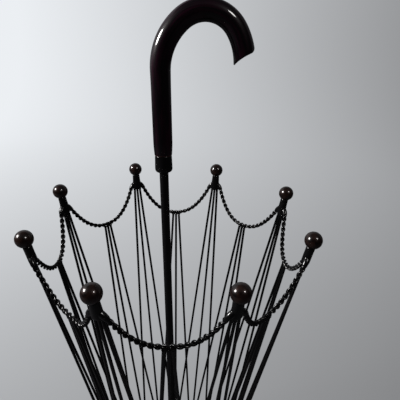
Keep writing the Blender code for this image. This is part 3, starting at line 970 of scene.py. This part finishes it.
class STAND_OT_base(bpy.types.Operator):
    """Build the drip pan, the ring that carries the wires, the feet, the bolt and its washer"""
    bl_idname = "stand.base"
    bl_label = "Base"

    def execute(self, context):
        add_piece("base_pan_pressed", pan_mesh(), "black_enamel", "stand", "base_pan")
        add_piece("base_ring_hoop", ring_mesh(), "black_enamel", "stand", "base_ring")
        for number in range(1, FOOT_COUNT + 1):
            low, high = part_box(f"foot_{number}")
            foot = foot_mesh(((low + high) / 2).to_2d())
            add_piece(f"foot_{number}_bun", foot, "black_enamel", "stand", f"foot_{number}")
        add_piece("base_bolt_button", bolt_mesh(), "zinc_steel", "stand", "base_bolt")
        low, high = along_pole("base_washer")
        hole, outer = 0.0034, reach_of("base_washer") - 0.00005
        outline = [(hole, high), (outer, high), (outer, low), (hole, low)]
        washer = turned("washer", rounded(outline, 0.0003, 2), 40, POLE_PLACE, closed=True)
        add_piece("base_washer_flat", washer, "zinc_steel", "stand", "base_washer")
        return {"FINISHED"}


# ---- stage ---------------------------------------------------------------------------------
CAMERA_PLACE = Vector((0.01567, -0.43058, 0.73143))
CAMERA_YAW, CAMERA_PITCH, CAMERA_ROLL = -0.0409, -0.4265, -0.0254
CAMERA_LENS = 34.81
AIM = Vector((0, 0, 0.50))
LAMP_DISTANCE = 1.9
WALL_RADIUS, WALL_HEIGHT, WALL_BEND = 3.2, 4.0, 0.9
PAINTED_GLOW_SHARE = 0.88                 # share of the backdrop's painted light and shade that it shows as its own glow, apart from the lamps


def backdrop_mesh():
    """Round room in one sheet: floor, a wide curve and a wall."""
    floor, quarter = WALL_RADIUS - WALL_BEND, [math.pi / 2 * k / 16 for k in range(16, 0, -1)]
    profile = [(WALL_RADIUS, WALL_HEIGHT)]
    profile += [
        (floor + WALL_BEND * math.sin(a), WALL_BEND - WALL_BEND * math.cos(a)) for a in quarter
    ]
    profile += [(floor, 0.0), (0, 0.0)]
    verts, faces = lathe_data(profile, 64)
    return new_mesh("backdrop", verts, [face[::-1] for face in faces], 80.0)


def backdrop_material(colours):
    """Pale paint under painted light and shade: lighter on one side and further back, darker on the
    other, glowing with a tone of its own.

    To light that only bounces off it, it is dark, so the enamel stays black.
    """
    material, nodes, shader = new_material("backdrop_pale_paint_painted_light")
    place = nodes.object_place()
    parts = nodes.node("ShaderNodeSeparateXYZ", None, {0: place})
    across = Socket(nodes, parts.outputs["X"])
    back = Socket(nodes, parts.outputs["Y"])
    deep = nodes.out("ShaderNodeMath", {"operation": "ABSOLUTE"}, {0: back})
    # painted light and shade: lighter to the left (-X) and further out along Y, darker to the right
    # (+X), as if lit from the left
    light = (0.145 - across * 0.282 + deep * 0.379 - deep * deep * 0.072).clamped()
    paint = nodes.mix(light, colour4(colours.wall_shade), colour4(colours.wall_light))
    path = nodes.node("ShaderNodeLightPath")
    camera, glossy, through = (Socket(nodes, path.outputs[f"Is {kind} Ray"])
                               for kind in ("Camera", "Glossy", "Transmission"))
    wall = (Socket(nodes, parts.outputs["Z"]) * 2.0).clamped() * (back * 1.5).clamped()
    # the camera and rays through glass see the painted light and shade as glow; glossy rays see a
    # quarter of that glow on the wall behind
    seen = (camera * PAINTED_GLOW_SHARE + glossy * wall * 0.25 + through * PAINTED_GLOW_SHARE).clamped()
    linked = {"Base Color": nodes.mix(camera, (0.05, 0.05, 0.055, 1), paint)}
    finish_shader(nodes, shader, linked, {"Roughness": 0.9, "Specular IOR Level": 0.1})
    # glow of the painted light and shade, lit by no lamp
    glow = nodes.out("ShaderNodeEmission", None, {"Color": paint, "Strength": 1.0})
    lit = Socket(nodes, shader.outputs[0])
    both = nodes.out("ShaderNodeMixShader", None, {0: seen, 1: lit, 2: glow})
    nodes.feed(material.node_tree.nodes["Material Output"].inputs["Surface"], both)
    return material


def add_lamp(name, direction, size, power, colour):
    """A soft round lamp, in this direction from the stand's middle and aimed at it."""
    lamp = bpy.data.lights.new(name, "AREA")
    lamp.shape = "DISK"
    lamp.size = size
    lamp.energy = power
    lamp.color = colour
    holder = bpy.data.objects.new(name, lamp)
    bpy.context.scene.collection.objects.link(holder)
    holder.location = AIM + Vector(direction) * LAMP_DISTANCE
    holder.rotation_euler = (-Vector(direction)).to_track_quat("-Z", "Y").to_euler()


class STAND_OT_stage(bpy.types.Operator):
    """Build the floor and backdrop, the lamps, the world and the camera"""
    bl_idname = "stand.stage"
    bl_label = "Stage"

    def execute(self, context):
        scene, colours = context.scene, context.scene.stand_colours
        backdrop = bpy.data.objects.new("backdrop", backdrop_mesh())
        scene.collection.objects.link(backdrop)
        backdrop.data.materials.append(backdrop_material(colours))
        add_lamp("left_lamp", (-0.87, -0.06, 0.47), 0.52, 34.0, (1.0, 0.985, 0.97))
        add_lamp("right_lamp", (0.52, -0.52, 0.68), 0.34, 5.0, (1.0, 0.98, 0.96))
        world = bpy.data.worlds.new("studio")
        scene.world = world
        world.use_nodes = True
        nodes = Nodes(world.node_tree)
        shade = world.node_tree.nodes["Background"]
        shade.inputs["Color"].default_value = (0.80, 0.82, 0.86, 1)
        camera_ray = nodes.out("ShaderNodeLightPath", None, None, "Is Camera Ray")
        nodes.feed(shade.inputs["Strength"], camera_ray * 0.66 + 0.04)
        scene.view_settings.view_transform = "Standard"
        lens = bpy.data.cameras.new("camera")
        lens.lens = CAMERA_LENS
        lens.clip_start = 0.01
        camera = bpy.data.objects.new("camera", lens)
        scene.collection.objects.link(camera)
        turn = (Matrix.Rotation(CAMERA_YAW, 4, "Z") @ Matrix.Rotation(CAMERA_PITCH, 4, "X")
                @ Matrix.Rotation(CAMERA_ROLL, 4, "Y") @ Matrix.Rotation(math.pi / 2, 4, "X"))
        camera.matrix_world = Matrix.Translation(CAMERA_PLACE) @ turn
        scene.camera = camera
        return {"FINISHED"}


# ---- panel and registration ----------------------------------------------------------------
BUILDERS = (STAND_OT_stage, STAND_OT_handle, STAND_OT_pole, STAND_OT_finials, STAND_OT_swags,
            STAND_OT_wires, STAND_OT_base)


class STAND_PT_panel(bpy.types.Panel):
    """Lists the stand's pieces in the sidebar"""
    bl_idname = "STAND_PT_panel"
    bl_label = "Umbrella Stand"
    bl_space_type = "VIEW_3D"
    bl_region_type = "UI"
    bl_category = "Umbrella Stand"

    def draw(self, context):
        for builder in BUILDERS:
            self.layout.operator(builder.bl_idname)
        for group in (context.scene.stand_sizes, context.scene.stand_colours):
            box = self.layout.box()
            for name in group.__annotations__:
                box.prop(group, name)


CLASSES = (StandSizes, StandColours, *BUILDERS, STAND_PT_panel)


def register():
    for cls in CLASSES:
        bpy.utils.register_class(cls)
    bpy.types.Scene.stand_sizes = PointerProperty(type=StandSizes)
    bpy.types.Scene.stand_colours = PointerProperty(type=StandColours)


def unregister():
    del bpy.types.Scene.stand_colours
    del bpy.types.Scene.stand_sizes
    for cls in reversed(CLASSES):
        bpy.utils.unregister_class(cls)


def main():
    register()
    bpy.ops.stand.stage()
    bpy.ops.stand.handle()
    bpy.ops.stand.pole()
    bpy.ops.stand.finials()
    bpy.ops.stand.swags()
    bpy.ops.stand.wires()
    bpy.ops.stand.base()


if __name__ == "__main__":
    main()
